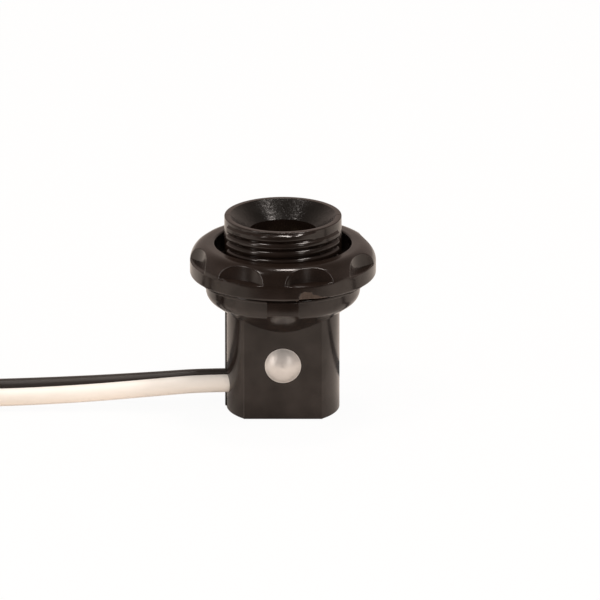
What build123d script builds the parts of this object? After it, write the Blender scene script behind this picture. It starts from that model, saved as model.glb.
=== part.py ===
"""Side-outlet candelabra lamp socket: a two-half phenolic body round an E12 screw shell,
with a screw-on shade ring and two insulated leads.

Millimetres. The origin is the centre of the bottom, +Z points up out of the mouth,
the rivet head faces -Y and the leads leave towards -X.
"""
import math
import os

from build123d import *

# Body: the barrel below, the hood and its flange, and the collar that the ring screws on
barrel_height = 18.8
barrel_radius = 11.6
flat_distance = 8.5
barrel_corner_fillet = 0.6
barrel_edge_fillet = 0.5
mould_mismatch = 0.3
hood_height = 9.6
hood_slope_deg = 37.0
hood_radius = 15.8
hood_corner_radius = 2.6
flange_radius = 17.3
flange_thickness = 0.7
collar_height = 12.9
collar_radius = 12.0
mouth_radius = 10.8
mouth_edge_chamfer = 0.3
funnel_depth = 3.3
mouth_bore_radius = 7.0
pad_width = 6.6
pad_height = 0.35
pad_bottom_z = 20.3

# Outside thread of the collar, and the smooth strips beside the joint of the two halves
thread_pitch = 1.7
thread_height = 0.55
thread_root_width = 1.5
thread_crest_width = 0.45
thread_sunk = 0.2
thread_turns = 5.8
thread_top_gap = 1.2
thread_strip_deg = 20.0

# Shade ring
ring_height = 6.6
ring_rim_width = 5.05
ring_gap_to_flange = 0.5
ring_thread_clearance = 0.2
ring_land_height = 2.5
ring_hole_gap = 1.45
ring_crest_width = 1.5
ring_shoulder_drop = 0.45
ring_round_height = 4.0
ring_hole_chamfer = 0.35
ring_bottom_fillet = 0.5
pocket_count = 8
pocket_first_deg = 17.0
pocket_scoop_radius = 12.3
pocket_depth = 2.05
pocket_floor_height = 3.2
pocket_draft_deg = 8.0
chip_angle_deg = 17.0
chip_cutter_radius = 2.4
chip_height = 1.0
chip_depth = 1.5

# Cavities of the body
barrel_wall = 1.9
chamber_floor = 1.8
shelf_thickness = 3.0
shelf_hole_radius = 6.4
disc_radius = 7.6
disc_thickness = 1.2
disc_above_barrel = 1.2
cavity_clearance = 0.1
shell_clearance = 0.3

# E12 screw shell, rolled from sheet
shell_sheet = 0.35
shell_major_radius = 6.1
shell_thread_depth = 0.6
shell_pitch = 2.54
shell_waves = 4
shell_base_width = 1.7
shell_rim_radius = 7.7
shell_height = 13.55
shell_roll_flat = 0.5

# Contacts, terminals and rivets
strip_thickness = 0.5
strip_width = 2.0
terminal_x = -4.3
crimp_radius = 1.15
crimp_hole_clearance = 0.1
crimp_length = 4.0
terminal_drop = 6.5
leaf_thickness = 0.3
leaf_width = 2.2
leaf_rise_deg = 22.0
leaf_root_margin = 0.8
leaf_bend_gap = 1.2
leaf_arm = 3.4
leaf_tip_drop = 0.7
leaf_swing_clearance = 0.32
contact_rivet_inset = 1.7
small_rivet_shank = 0.6
small_rivet_head = 0.9
small_rivet_head_height = 0.45
shell_rivet_inset = 1.0
shell_rivet_deg = 54.0
shell_rivet_shank = 0.45
shell_rivet_head = 0.65
rivet_hole_clearance = 0.05

# Housing rivet, front to back through the boss
rivet_z = 11.6
rivet_head_radius = 3.7
rivet_head_height = 1.9
rivet_shank_radius = 1.9
rivet_tail_radius = 3.0
rivet_tail_height = 1.1
boss_wall = 0.95

# Leads: two insulated wires, side by side in one slot
lead_radius = 1.8
lead_spacing = 4.0
lead_exit_z = 5.6
lead_slot_clearance = 0.1
lead_start_x = -7.4
conductor_radius = 0.6
strand_end_radius = 0.75
strand_end_length = 12.8
hank_start_x = -74.5
hank_fold_radius = 10.8
hank_run = 24.8
hank_rise = 4.5
hank_slack = 0.1
tie_thickness = 0.6
tie_width = 3.0

# Heights that follow from the sizes above
flange_top_z = barrel_height + hood_height
body_height = flange_top_z + collar_height
thread_top_z = body_height - thread_top_gap
ring_bottom_z = flange_top_z + ring_gap_to_flange
disc_bottom_z = barrel_height + disc_above_barrel
disc_top_z = disc_bottom_z + disc_thickness
shelf_bottom_z = disc_bottom_z - shelf_thickness
shell_rim_z = disc_top_z + shell_height - shell_sheet
crimp_top_z = disc_bottom_z - terminal_drop
crimp_bottom_z = crimp_top_z - crimp_length

# Radii and offsets that follow from the sizes above
chamber_radius = barrel_radius - barrel_wall
chamber_flat = flat_distance - barrel_wall
thread_crest_radius = collar_radius + thread_height
ring_land_radius = thread_crest_radius + ring_thread_clearance
ring_hole_radius = thread_crest_radius + ring_hole_gap
ring_crest_radius = ring_hole_radius + ring_crest_width
ring_outer_radius = ring_hole_radius + ring_rim_width
boss_radius = rivet_shank_radius + rivet_hole_clearance + boss_wall
lead_y = lead_spacing / 2
shell_minor_radius = shell_major_radius - shell_thread_depth
shell_base_hole_radius = shell_major_radius - shell_base_width
shell_rivet_circle = shell_major_radius - shell_rivet_inset
contact_rivet_x = shell_base_hole_radius - contact_rivet_inset
leaf_root_x = contact_rivet_x + leaf_root_margin
leaf_bend_x = contact_rivet_x - leaf_bend_gap

# Hand-chosen points of each lead's route, from inside the slot to the start of its hank
white_route = [
    (lead_start_x, -lead_y, lead_exit_z),
    (-16.0, -lead_y, lead_exit_z),
    (-26.0, -2.05, 4.7),
    (-40.0, -2.0, 3.4),
    (-55.0, -2.2, 2.6),
    (-65.0, -2.1, 2.45),
    (hank_start_x, -2.0, 2.5),
]
black_route = [
    (lead_start_x, lead_y, lead_exit_z),
    (-16.0, lead_y, lead_exit_z),
    (-26.0, 2.15, 4.8),
    (-40.0, 2.7, 3.75),
    (-55.0, 3.35, 2.9),
    (-65.0, 3.65, 2.55),
    (hank_start_x, 3.5, 2.5),
]


def revolved(points):
    """A turned solid from its half section, given as (radius, z) points."""
    return revolve(make_face(Polyline(*[(r, 0, z) for r, z in points], close=True)), axis=Axis.Z)


def disc(radius, bottom, top, x=0.0, y=0.0):
    """An upright cylinder between two heights."""
    return Pos(x, y, bottom) * extrude(Circle(radius), top - bottom)


def box(x0, x1, y0, y1, z0, z1):
    """A block between two corners."""
    return Pos((x0 + x1) / 2, (y0 + y1) / 2, (z0 + z1) / 2) * Box(x1 - x0, y1 - y0, z1 - z0)


def barrel(radius, flat, bottom, top, shift=0.0):
    """A cylinder with a front and a back flat."""
    outline = Circle(radius) & Rectangle(3 * radius, 2 * flat)
    return Pos(shift, 0, bottom) * extrude(outline, top - bottom)


def hood():
    """Cone, rounded shoulder, flange and collar, as one turned form."""
    slope = math.tan(math.radians(hood_slope_deg))
    cone_top_z = barrel_height + (hood_radius - flat_distance) * slope
    flange_bottom_z = flange_top_z - flange_thickness
    section = Polyline(
        (0, 0, barrel_height),
        (flat_distance, 0, barrel_height),
        (hood_radius, 0, cone_top_z),
        (hood_radius, 0, flange_bottom_z),
        (flange_radius, 0, flange_bottom_z),
        (flange_radius, 0, flange_top_z),
        (collar_radius, 0, flange_top_z),
        (collar_radius, 0, body_height - mouth_edge_chamfer),
        (collar_radius - mouth_edge_chamfer, 0, body_height),
        (0, 0, body_height),
        close=True,
    )
    face = make_face(section)
    shoulder = face.vertices().sort_by_distance((hood_radius, 0, cone_top_z))[0]
    return revolve(fillet(shoulder, hood_corner_radius), axis=Axis.Z)


def collar_thread():
    """Helical ridge round the collar, left off beside the joint of the two halves."""
    run = thread_pitch * thread_turns
    path = Pos(0, 0, thread_top_z - run) * Helix(thread_pitch, run, collar_radius)
    start = path @ 0
    outline = Polyline(
        (-thread_sunk, -thread_root_width / 2),
        (thread_height, -thread_crest_width / 2),
        (thread_height, thread_crest_width / 2),
        (-thread_sunk, thread_root_width / 2),
        close=True,
    )
    section = Plane(origin=start, x_dir=Vector(start.X, start.Y, 0), z_dir=path % 0)
    ridge = sweep(section * make_face(outline), path=path, is_frenet=True)
    reach = 2 * collar_radius
    rise = reach * math.tan(math.radians(thread_strip_deg))
    strip = make_face(Polyline((0, 0), (reach, rise), (reach, -rise), close=True))
    for turn in (0, 180):
        ridge -= Rot(0, 0, turn) * extrude(strip, body_height)
    return ridge


def pad():
    """The plain raised rectangle on the front of the hood."""
    slope = math.tan(math.radians(hood_slope_deg))
    face_y = flange_radius + pad_height
    low_z = barrel_height - pad_height
    kink_z = low_z + (face_y - flat_distance) * slope
    side = Polyline(
        (0, -flat_distance + pad_height, low_z),
        (0, -flat_distance, low_z),
        (0, -face_y, kink_z),
        (0, -face_y, flange_top_z),
        (0, -flat_distance + pad_height, flange_top_z),
        close=True,
    )
    block = extrude(make_face(side), pad_width / 2, dir=(1, 0, 0), both=True)
    return block & box(-pad_width, pad_width, -2 * flange_radius, 0, pad_bottom_z, flange_top_z)


def cavities():
    """Everything that is hollow inside the closed body."""
    mouth = revolved([
        (0, shell_rim_z + shell_sheet),
        (mouth_bore_radius, shell_rim_z + shell_sheet),
        (mouth_bore_radius, body_height - funnel_depth),
        (mouth_radius, body_height),
        (0, body_height),
    ])
    shell_room = shell_major_radius + shell_sheet + shell_clearance
    chamber = barrel(chamber_radius, chamber_flat, chamber_floor, shelf_bottom_z)
    boss = Pos(0, 0, rivet_z) * Rot(90, 0, 0) * Cylinder(boss_radius, 2 * flat_distance)
    slot_length = lead_spacing + 2 * (lead_radius + lead_slot_clearance)
    slot_height = 2 * (lead_radius + lead_slot_clearance)
    slot = Rot(0, -90, 0) * extrude(Rot(0, 0, 90) * SlotOverall(slot_length, slot_height), 2 * barrel_radius)
    rivet_hole = Rot(90, 0, 0) * Cylinder(rivet_shank_radius + rivet_hole_clearance, 3 * flat_distance)
    return [
        mouth,
        disc(shell_rim_radius + cavity_clearance, shell_rim_z - cavity_clearance,
             shell_rim_z + shell_sheet + cavity_clearance),
        disc(shell_room, disc_top_z, shell_rim_z),
        disc(disc_radius + cavity_clearance, disc_bottom_z, disc_top_z + cavity_clearance),
        disc(shelf_hole_radius, shelf_bottom_z, disc_bottom_z),
        chamber - boss,
        Pos(0, 0, lead_exit_z) * slot,
        Pos(0, 0, rivet_z) * rivet_hole,
    ]


def housing_half(side, shift):
    """One moulded half: side is -1 for the front one and +1 for the back one."""
    reach = barrel_radius + mould_mismatch - flat_distance
    meets_hood_z = barrel_height + reach * math.tan(math.radians(hood_slope_deg))
    lower = barrel(barrel_radius, flat_distance, 0, meets_hood_z, shift)
    lower = fillet(lower.edges().filter_by(Axis.Z), barrel_corner_fillet)
    lower = fillet(lower.edges().group_by(Axis.Z)[0], barrel_edge_fillet)
    body = hood() + lower + collar_thread()
    if side < 0:
        body += pad()
    reach = 2 * ring_outer_radius
    keep = box(-reach, reach, min(0, side * reach), max(0, side * reach), -1, body_height + 1)
    body = body & keep
    for cavity in cavities():
        body -= cavity
    return body


def shade_ring():
    """The screw-on ring, turned, then scooped round its rim for the fingers."""
    bottom = ring_bottom_z
    top = bottom + ring_height
    outline = Polyline(
        (ring_outer_radius, 0, top - ring_round_height),
        (ring_outer_radius, 0, bottom),
        (ring_land_radius, 0, bottom),
        (ring_land_radius, 0, bottom + ring_land_height),
        (ring_hole_radius, 0, bottom + ring_land_height),
        (ring_hole_radius, 0, top - ring_hole_chamfer),
        (ring_hole_radius + ring_hole_chamfer, 0, top),
        (ring_crest_radius, 0, top),
    )
    rounded_top = Spline(
        (ring_crest_radius, 0, top),
        (ring_outer_radius - ring_shoulder_drop, 0, top - ring_round_height / 2),
        (ring_outer_radius, 0, top - ring_round_height),
        tangents=[(1, 0, 0), (0, 0, -1)],
    )
    face = make_face(Wire(outline.edges() + rounded_top.edges()))
    corner = face.vertices().sort_by_distance((ring_outer_radius, 0, bottom))[0]
    ring = revolve(fillet(corner, ring_bottom_fillet), axis=Axis.Z)
    scoop_centre = ring_outer_radius - pocket_depth + pocket_scoop_radius
    scoop_height = ring_height - pocket_floor_height
    low_radius = pocket_scoop_radius - scoop_height * math.tan(math.radians(pocket_draft_deg))
    low_end = (Align.CENTER, Align.CENTER, Align.MIN)
    scoop = Cone(low_radius, pocket_scoop_radius, scoop_height, align=low_end)
    for k in range(pocket_count):
        turned = Rot(0, 0, pocket_first_deg + k * 360 / pocket_count)
        ring -= turned * Pos(0, -scoop_centre, bottom + pocket_floor_height) * scoop
    chip_length = 2 * chip_depth
    chip = Rot(90, 0, 0) * Cylinder(chip_cutter_radius, chip_length)
    chip = Pos(0, -ring_outer_radius, bottom - chip_cutter_radius + chip_height) * chip
    return ring - Rot(0, 0, chip_angle_deg) * chip


def shell_rolls(offset):
    """Half section of the rolled thread going up, at a distance out from its inside."""
    start = disc_top_z + shell_sheet + shell_pitch / 2
    half = shell_pitch / 2
    points = []
    for k in range(shell_waves):
        z = start + k * shell_pitch
        points += [
            (shell_major_radius + offset, z),
            (shell_minor_radius + offset, z + half - shell_roll_flat),
            (shell_minor_radius + offset, z + half),
            (shell_major_radius + offset, z + shell_pitch - shell_roll_flat),
        ]
    return points


def screw_shell():
    """Rolled brass shell: a turned-in base, four thread rolls and a flared rim."""
    base = disc_top_z
    out_r = shell_major_radius + shell_sheet
    inside = [
        (shell_base_hole_radius, base),
        (shell_base_hole_radius, base + shell_sheet),
        (shell_major_radius, base + shell_sheet),
        *shell_rolls(0),
        (shell_major_radius, shell_rim_z + shell_sheet),
        (shell_rim_radius, shell_rim_z + shell_sheet),
    ]
    outside = [
        (shell_rim_radius, shell_rim_z),
        (out_r, shell_rim_z),
        *reversed(shell_rolls(shell_sheet)),
        (out_r, base),
    ]
    shell = revolved(inside + outside)
    for x, y in shell_rivet_places():
        shell -= disc(shell_rivet_shank + rivet_hole_clearance, base - 1, base + 1, x, y)
    return shell


def shell_rivet_places():
    """Two opposite places on the base of the shell."""
    angles = [math.radians(shell_rivet_deg + 180), math.radians(shell_rivet_deg)]
    return [(shell_rivet_circle * math.cos(a), shell_rivet_circle * math.sin(a)) for a in angles]


def insulating_disc():
    """Fibre disc under the shell, with a hole for each rivet."""
    plate = disc(disc_radius, disc_bottom_z, disc_top_z)
    plate -= disc(small_rivet_shank + rivet_hole_clearance, 0, body_height, contact_rivet_x)
    for x, y in shell_rivet_places():
        plate -= disc(shell_rivet_shank + rivet_hole_clearance, 0, body_height, x, y)
    return plate


def centre_contact():
    """Spring leaf that the bulb's tip presses down; it flexes at its bend."""
    rise = math.radians(leaf_rise_deg)
    top_x = leaf_bend_x - leaf_arm * math.cos(rise)
    top_z = disc_top_z + leaf_arm * math.sin(rise)
    t = leaf_thickness
    side = Polyline(
        (leaf_root_x, 0, disc_top_z),
        (leaf_bend_x, 0, disc_top_z),
        (top_x, 0, top_z),
        (top_x - leaf_tip_drop, 0, top_z - leaf_tip_drop / 2),
        (top_x - leaf_tip_drop - t / 2, 0, top_z - leaf_tip_drop / 2 + t),
        (top_x - t / 3, 0, top_z + t),
        (leaf_bend_x + t / 5, 0, disc_top_z + t),
        (leaf_root_x, 0, disc_top_z + t),
        close=True,
    )
    leaf = extrude(make_face(side), leaf_width / 2, dir=(0, 1, 0), both=True)
    return leaf - disc(small_rivet_shank + leaf_swing_clearance / 2, 0, body_height, contact_rivet_x)


def rivet(x, y, shank, head, bottom, top, head_height):
    """A small two-headed rivet that clamps between two heights."""
    return (
        disc(shank, bottom - head_height, top + head_height, x, y)
        + disc(head, top, top + head_height, x, y)
        + disc(head, bottom - head_height, bottom, x, y)
    )


def contact_rivet():
    """Carries the leaf above the disc and the centre terminal below it."""
    top = disc_top_z + leaf_thickness + leaf_swing_clearance
    bottom = disc_bottom_z - strip_thickness
    return rivet(contact_rivet_x, 0, small_rivet_shank, small_rivet_head, bottom, top, small_rivet_head_height)


def shell_rivets():
    """The pair of rivets that hold the shell on the disc; one carries the shell terminal."""
    top = disc_top_z + shell_sheet
    bottoms = [disc_bottom_z - strip_thickness, disc_bottom_z]
    return Compound([
        rivet(x, y, shell_rivet_shank, shell_rivet_head, bottom, top, small_rivet_head_height)
        for (x, y), bottom in zip(shell_rivet_places(), bottoms)
    ])


def terminal(side, foot):
    """Strip bent down from its foot under the disc, rolled into a crimp barrel at its end."""
    half = strip_width / 2
    near = lead_y + crimp_radius - strip_thickness
    far = lead_y + crimp_radius
    low, high = sorted((side * near, side * far))
    strip = box(terminal_x - half, terminal_x + half, low, high, crimp_top_z, disc_bottom_z)
    centre_y = side * lead_y
    barrel_outer = disc(crimp_radius, crimp_bottom_z, crimp_top_z, terminal_x, centre_y)
    web = box(terminal_x - half / 2, terminal_x + half / 2, low, high,
              crimp_bottom_z + crimp_length / 2, crimp_top_z + half)
    hole = disc(conductor_radius + crimp_hole_clearance, 0, body_height, terminal_x, centre_y)
    return strip + foot + ((barrel_outer + web) - hole)


def shell_terminal():
    """Terminal of the white lead, riveted under the rim of the shell's base."""
    x, y = shell_rivet_places()[0]
    half = strip_width / 2
    near = lead_y + crimp_radius - strip_thickness
    foot = box(terminal_x - half, x + shell_rivet_head, y - shell_rivet_head, -near,
               disc_bottom_z - strip_thickness, disc_bottom_z)
    foot = foot & disc(shelf_hole_radius - shell_clearance, 0, body_height)
    foot -= disc(shell_rivet_shank + rivet_hole_clearance, 0, body_height, x, y)
    return terminal(-1, foot)


def centre_terminal():
    """Terminal of the black lead, riveted under the middle of the disc."""
    half = strip_width / 2
    far = lead_y + crimp_radius
    bottom = disc_bottom_z - strip_thickness
    tongue = box(terminal_x - half, contact_rivet_x + small_rivet_head, -leaf_width / 2, leaf_width / 2,
                 bottom, disc_bottom_z)
    arm = box(terminal_x - half, terminal_x + half, -leaf_width / 2, far, bottom, disc_bottom_z)
    hole = disc(small_rivet_shank + rivet_hole_clearance, 0, body_height, contact_rivet_x)
    return terminal(1, (tongue + arm) - hole)


def housing_rivet():
    """Domed aluminium rivet through both halves, clinched at the back."""
    dome_radius = (rivet_head_radius ** 2 + rivet_head_height ** 2) / (2 * rivet_head_height)
    head = Pos(0, 0, rivet_head_height - dome_radius) * Sphere(dome_radius)
    head = head & disc(2 * rivet_head_radius, 0, 2 * rivet_head_height)
    shank = Pos(0, 0, -2 * flat_distance) * extrude(Circle(rivet_shank_radius), 2 * flat_distance)
    tail = Pos(0, 0, -2 * flat_distance - rivet_tail_height) * extrude(
        Circle(rivet_tail_radius), rivet_tail_height
    )
    return Pos(0, -flat_distance, rivet_z) * Rot(90, 0, 0) * (head + shank + tail)


def arc_radii(points):
    """The largest arc that each corner's two runs allow."""
    vectors = [Vector(*p) for p in points]
    radii = []
    for before, corner, after in zip(vectors, vectors[1:], vectors[2:]):
        arriving, leaving = corner - before, after - corner
        half_turn = math.radians(arriving.get_angle(leaving)) / 2
        radii.append(0.45 * min(arriving.length, leaving.length) / math.tan(half_turn))
    return radii


def swept_round(points, radius):
    """A round wire or cord along straight runs joined by tangent arcs."""
    path = FilletPolyline(*points, radius=arc_radii(points))
    start = Plane(origin=path @ 0, z_dir=path % 0)
    return sweep(start * Circle(radius), path=path)


def hank_ring(route, side):
    """Outer shape of one lead's hank: the racetrack that its folded length fits in."""
    x, y, z = route[-1]
    wall = lead_radius + hank_slack
    outer = SlotCenterToCenter(hank_run, 2 * (hank_fold_radius + wall))
    inner = SlotCenterToCenter(hank_run, 2 * (hank_fold_radius - wall))
    height = hank_rise + 2 * wall
    return Pos(x - hank_run / 2, y + side * hank_fold_radius, z - wall) * extrude(outer - inner, height)


def lead(route, side):
    """The stretch of one lead that isn't folded; it ends where it meets its hank."""
    run = swept_round(route, lead_radius) - hank_ring(route, side)
    near_body = run.solids().sort_by(Axis.X)[-1]
    return near_body


def conductor(side):
    """Stripped end of a lead, bent up from the insulation into its crimp barrel."""
    y = side * lead_y
    points = [
        (lead_start_x, y, lead_exit_z),
        (terminal_x, y, lead_exit_z),
        (terminal_x, y, crimp_top_z),
    ]
    return swept_round(points, conductor_radius)


def bare_end(route, side):
    """Tinned strands past the insulation, where the last run leaves the hank."""
    x, y, z = route[-1]
    outer = hank_fold_radius + lead_radius + hank_slack
    tail = math.sqrt(outer ** 2 - hank_fold_radius ** 2)
    start = Plane(origin=(x - hank_run, y, z + hank_rise), z_dir=(-1, 0, 0))
    strands = start * extrude(Circle(strand_end_radius), tail + strand_end_length)
    return strands - hank_ring(route, side)


def hank_tie(route, side):
    """Band round the two runs of a hank that lie over each other."""
    x, y, z = route[-1]
    wall = lead_radius + hank_slack
    width = 2 * (wall + tie_thickness)
    height = hank_rise + 2 * (wall + tie_thickness)
    band = Pos(x - hank_run / 2, y, z + hank_rise / 2) * Box(tie_width, width, height)
    return band - hank_ring(route, side)


def write(name, shape):
    """Writes one piece to its own file."""
    shape.label = name
    export_step(shape, f"parts/{name}.step")


def main():
    os.makedirs("parts", exist_ok=True)
    write("front_housing", housing_half(-1, 0))
    write("back_housing", housing_half(1, -mould_mismatch))
    write("shade_ring", shade_ring())
    write("screw_shell", screw_shell())
    write("insulating_disc", insulating_disc())
    write("centre_contact", centre_contact())
    write("contact_rivet", contact_rivet())
    write("shell_rivets", shell_rivets())
    write("shell_terminal", shell_terminal())
    write("centre_terminal", centre_terminal())
    write("housing_rivet", housing_rivet())
    for name, route, side in (("white", white_route, -1), ("black", black_route, 1)):
        print(name, "lead radii", [round(r, 1) for r in arc_radii(route)])
        write(f"{name}_conductor", conductor(side))
        write(f"{name}_lead", lead(route, side))
        write(f"{name}_lead_hank", hank_ring(route, side))
        write(f"{name}_bare_end", bare_end(route, side))
        write(f"{name}_hank_tie", hank_tie(route, side))


main()
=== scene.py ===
import math

import bmesh
import bpy
from mathutils import Matrix, Vector, noise


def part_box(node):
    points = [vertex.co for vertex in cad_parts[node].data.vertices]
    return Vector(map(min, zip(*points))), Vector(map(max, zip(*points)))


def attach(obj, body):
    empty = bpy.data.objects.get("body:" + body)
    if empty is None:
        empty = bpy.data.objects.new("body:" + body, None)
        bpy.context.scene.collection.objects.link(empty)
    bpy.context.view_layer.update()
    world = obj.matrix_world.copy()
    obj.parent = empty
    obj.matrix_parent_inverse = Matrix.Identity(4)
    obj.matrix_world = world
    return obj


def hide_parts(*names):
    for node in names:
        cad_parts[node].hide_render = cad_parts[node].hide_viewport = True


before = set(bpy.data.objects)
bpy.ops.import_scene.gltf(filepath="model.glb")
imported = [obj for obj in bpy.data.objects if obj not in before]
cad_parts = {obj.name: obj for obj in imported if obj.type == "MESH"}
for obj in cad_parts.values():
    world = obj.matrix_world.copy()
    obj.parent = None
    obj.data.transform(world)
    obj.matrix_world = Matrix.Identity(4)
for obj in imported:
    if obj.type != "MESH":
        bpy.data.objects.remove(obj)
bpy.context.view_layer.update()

mm = 0.001

# Camera: it stands square to the flat front of the socket and looks down on it a little,
# far enough off that the upright edges stay almost parallel.
picture_pixels = 600
axis_pixel, base_pixel = 283, 406
pixels_per_mm = 4.88
camera_elevation = math.radians(18.6)
camera_distance = 2500 * mm
half_view = picture_pixels / 2 / pixels_per_mm * mm
aim = Vector((
    (picture_pixels / 2 - axis_pixel) / pixels_per_mm * mm,
    0,
    (base_pixel - picture_pixels / 2) / pixels_per_mm / math.cos(camera_elevation) * mm,
))
lens_data = bpy.data.cameras.new("camera")
lens_data.lens = lens_data.sensor_width / 2 * camera_distance / half_view
camera = bpy.data.objects.new("camera", lens_data)
towards_camera = Vector((0, -math.cos(camera_elevation), math.sin(camera_elevation)))
camera.location = aim + camera_distance * towards_camera
camera.rotation_euler = (math.pi / 2 - camera_elevation, 0, 0)
bpy.context.scene.collection.objects.link(camera)
bpy.context.scene.camera = camera

# Leads: two 18 gauge wires in soft PVC, one white and one black, crimped inside the socket.
# They come out of one slot in its side and lie on the bench; past the picture's edge each is
# folded once into a hank and held by a tie, and its stripped strands stay free.
lead_radius = 1.8 * mm
lead_exit_z = 5.6 * mm
barrel_radius = 11.6 * mm
white_route = [
    (-0.0074, -0.002, 0.0056),
    (-0.016, -0.002, 0.0056),
    (-0.026, -0.00205, 0.0047),
    (-0.040, -0.002, 0.0034),
    (-0.055, -0.0022, 0.0026),
    (-0.065, -0.0021, 0.00245),
    (-0.0745, -0.002, 0.0025),
]
black_route = [
    (-0.0074, 0.002, 0.0056),
    (-0.016, 0.002, 0.0056),
    (-0.026, 0.00215, 0.0048),
    (-0.040, 0.0027, 0.00375),
    (-0.055, 0.00335, 0.0029),
    (-0.065, 0.00365, 0.00255),
    (-0.0745, 0.0035, 0.0025),
]
hank_fold_radius = 10.8 * mm
hank_run = 24.8 * mm
hank_rise = 4.5 * mm
hank_fold_points = 8
tail_length = 6.7 * mm
strand_length = 12.7 * mm
strand_overlap = mm  # how far the strands reach back inside the insulation
strand_radius = 0.14 * mm
strand_layers = ((0.0, 1), (0.29 * mm, 5), (0.58 * mm, 10))  # each layer's radius and count
strand_twist = 12.0 * mm
strand_steps = 14
tie_width = 3.0 * mm
tie_thickness = 0.6 * mm
tie_clearance = 0.05 * mm
tie_corner_share = 0.96  # how much of the half width its rounded ends take up
tie_edge_round = 0.15 * mm

# A pattern's scale is how many of its marks there are in a metre, so 0.22 / mm is one mark
# in 4.5 mm.
pvc_smears = 0.22 / mm  # 4.5 mm apart, the size of a fingertip's marks
pvc_ripple = 0.9 / mm  # 1.1 mm, several times the real die lines, which are too fine to show
pvc_ripple_depth = 0.05 * mm
metal_smears = 0.35 / mm  # 2.9 mm, patches of tarnish where it was handled
metal_mark_depth = 0.03 * mm


def linear(code):
    """An sRGB hex colour as the linear values that a socket takes."""
    values = [int(code[k:k + 2], 16) / 255 for k in (1, 3, 5)]
    return [v / 12.92 if v <= 0.04045 else ((v + 0.055) / 1.055) ** 2.4 for v in values] + [1.0]


def add_node(tree, kind, settings=None, links=None):
    """Adds a node: settings go to its properties or sockets, links come from other sockets."""
    node = tree.nodes.new(kind)
    for name, value in (settings or {}).items():
        if isinstance(name, str) and hasattr(node, name):
            setattr(node, name, value)
        else:
            node.inputs[name].default_value = value
    for name, source in (links or {}).items():
        tree.links.new(source, node.inputs[name])
    return node


def new_material(name):
    """A material with an empty tree but for its Principled shader and its output."""
    material = bpy.data.materials.new(name)
    material.use_nodes = True
    tree = material.node_tree
    return material, tree, tree.nodes["Principled BSDF"]


def lead_points(route, side):
    """The lead's control points: its route, then two folds and three runs, then its tail."""
    x, y, z = route[-1]
    flat = [(x, y), (x - hank_run, y)]
    for centre_x, turn in ((x - hank_run, 0), (x, math.pi)):
        for k in range(1, hank_fold_points + 1):
            angle = turn + math.pi * k / hank_fold_points
            flat.append((
                centre_x - hank_fold_radius * math.sin(angle),
                y + side * hank_fold_radius * (1 - math.cos(angle)),
            ))
    flat += [(x - hank_run, y), (x - hank_run - tail_length, y)]
    lengths = [0]
    for before, after in zip(flat, flat[1:]):
        lengths.append(lengths[-1] + math.dist(before, after))
    rise = hank_rise / (lengths[-1] - tail_length)
    folded = [
        Vector((px, py, z + min(hank_rise, rise * s))) for (px, py), s in zip(flat, lengths)
    ]
    return [Vector(p) for p in route] + folded[1:]


def smooth_line(name, points, radius):
    """A round cord whose line is one smooth spline through the points."""
    line = bpy.data.curves.new(name, "CURVE")
    line.dimensions = "3D"
    spline = line.splines.new("NURBS")
    spline.points.add(len(points) - 1)
    for control, point in zip(spline.points, points):
        control.co = (*point, 1)
    spline.order_u = 3
    spline.use_endpoint_u = True
    line.resolution_u = 12
    line.bevel_depth = radius
    line.bevel_resolution = 8
    line.use_fill_caps = True
    piece = bpy.data.objects.new(name, line)
    bpy.context.scene.collection.objects.link(piece)
    return piece


def pvc(name, colour, shade, roughness):
    """Extruded soft PVC: an even satin skin with faint marks from the die and from handling."""
    material, tree, shader = new_material(name)
    place = add_node(tree, "ShaderNodeTexCoord")
    marks = add_node(tree, "ShaderNodeTexNoise", {"Scale": pvc_smears, "Detail": 4.0},
                     {"Vector": place.outputs["Object"]})
    tint = add_node(tree, "ShaderNodeMix", {
        "data_type": "RGBA", 6: linear(colour), 7: linear(shade),
    }, {"Factor": marks.outputs["Fac"]})
    tree.links.new(tint.outputs[2], shader.inputs["Base Color"])
    ripple = add_node(tree, "ShaderNodeTexNoise", {"Scale": pvc_ripple, "Detail": 2.0},
                      {"Vector": place.outputs["Object"]})
    bump = add_node(tree, "ShaderNodeBump", {"Strength": 0.12, "Distance": pvc_ripple_depth},
                    {"Height": ripple.outputs["Fac"]})
    tree.links.new(bump.outputs["Normal"], shader.inputs["Normal"])
    shader.inputs["Roughness"].default_value = roughness
    shader.inputs["IOR"].default_value = 1.53
    return material


def bare_metal(name, colour, shade, roughness, mark_scale, marks):
    """Plain metal: duller patches where it was handled, and fine marks from its making."""
    material, tree, shader = new_material(name)
    place = add_node(tree, "ShaderNodeTexCoord")
    cloud = add_node(tree, "ShaderNodeTexNoise", {"Scale": metal_smears, "Detail": 4.0},
                     {"Vector": place.outputs["Object"]})
    tint = add_node(tree, "ShaderNodeMix", {
        "data_type": "RGBA", 6: linear(colour), 7: linear(shade),
    }, {"Factor": cloud.outputs["Fac"]})
    tree.links.new(tint.outputs[2], shader.inputs["Base Color"])
    wear = add_node(tree, "ShaderNodeMapRange", {
        "To Min": roughness - 0.06, "To Max": roughness + 0.08,
    }, {"Value": cloud.outputs["Fac"]})
    tree.links.new(wear.outputs["Result"], shader.inputs["Roughness"])
    scratch = add_node(tree, "ShaderNodeTexNoise", {"Scale": mark_scale, "Detail": 3.0},
                       {"Vector": place.outputs["Object"]})
    bump = add_node(tree, "ShaderNodeBump", {"Strength": marks, "Distance": metal_mark_depth},
                    {"Height": scratch.outputs["Fac"]})
    tree.links.new(bump.outputs["Normal"], shader.inputs["Normal"])
    shader.inputs["Metallic"].default_value = 1.0
    return material


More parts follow.
